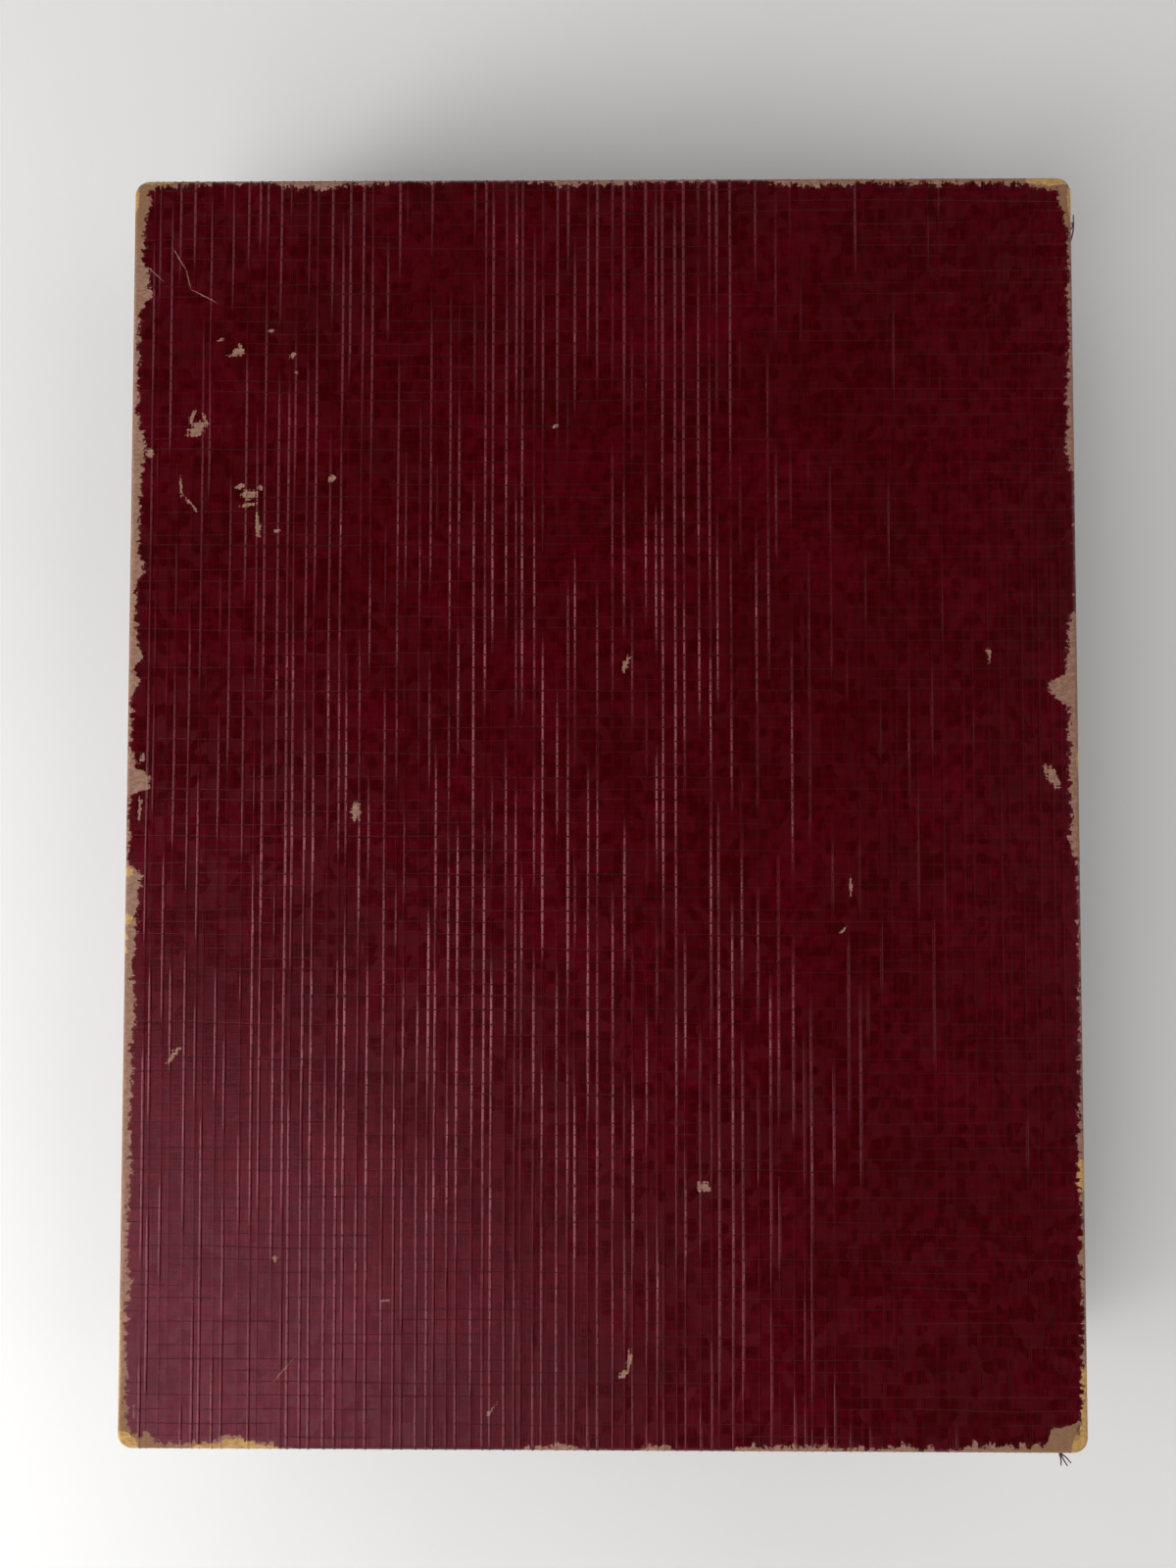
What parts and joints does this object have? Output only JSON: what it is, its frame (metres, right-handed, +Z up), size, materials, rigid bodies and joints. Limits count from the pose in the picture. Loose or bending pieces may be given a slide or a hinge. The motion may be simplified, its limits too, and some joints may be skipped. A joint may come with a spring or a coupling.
{
  "type": "boxed bible",
  "caption": "Flat telescoping box with a lift-off lid, covered in ribbed maroon paper and worn at its edges, holding a hardback bible with a rounded spine.",
  "frame": {"origin": "on the surface the box stands on, under the middle of its footprint", "axes": "+X to the book's fore edge, +Y to its head (the box's length), +Z up out of the lid"},
  "size_m": [0.18, 0.24, 0.038],
  "materials": {
    "maroon_paper": "dark maroon box paper, varnished and embossed with fine ribs, rubbed at the edges",
    "strawboard": "raw yellow-tan strawboard, matt and fibrous",
    "corner_tape": "gummed brown paper stay tape, matt",
    "lining_paper": "plain buff paper, matt and age-toned",
    "page_edges": "thin printed leaves, edges stained red and rubbed",
    "endpaper": "ivory paper, matt",
    "leathercloth": "black pebbled leathercloth with a low sheen",
    "headband_thread": "striped cotton headband"
  },
  "bodies": {
    "tray": {"tray_board": "strawboard", "tray_wrap": "maroon_paper", "tray_bottom_sheet": "lining_paper", "tray_corner_tape_1": "corner_tape", "tray_corner_tape_2": "corner_tape", "tray_corner_tape_3": "corner_tape", "tray_corner_tape_4": "corner_tape", "bible_text_block": "page_edges", "bible_front_endpaper": "endpaper", "bible_back_endpaper": "endpaper", "bible_front_board": "strawboard", "bible_back_board": "strawboard", "bible_spine_inlay": "strawboard", "bible_spine_lining": "endpaper", "bible_case_covering": "leathercloth", "bible_headband": "headband_thread", "bible_tailband": "headband_thread"},
    "lid": {"lid_board": "strawboard", "lid_wrap": "maroon_paper", "lid_corner_tape_1": "corner_tape", "lid_corner_tape_2": "corner_tape", "lid_corner_tape_3": "corner_tape", "lid_corner_tape_4": "corner_tape"}
  },
  "joints": [
    {"name": "lid_lift", "type": "slide", "parent": "tray", "child": "lid", "axis": [0, 0, 1], "range_m": [0, 0.12]}
  ]
}
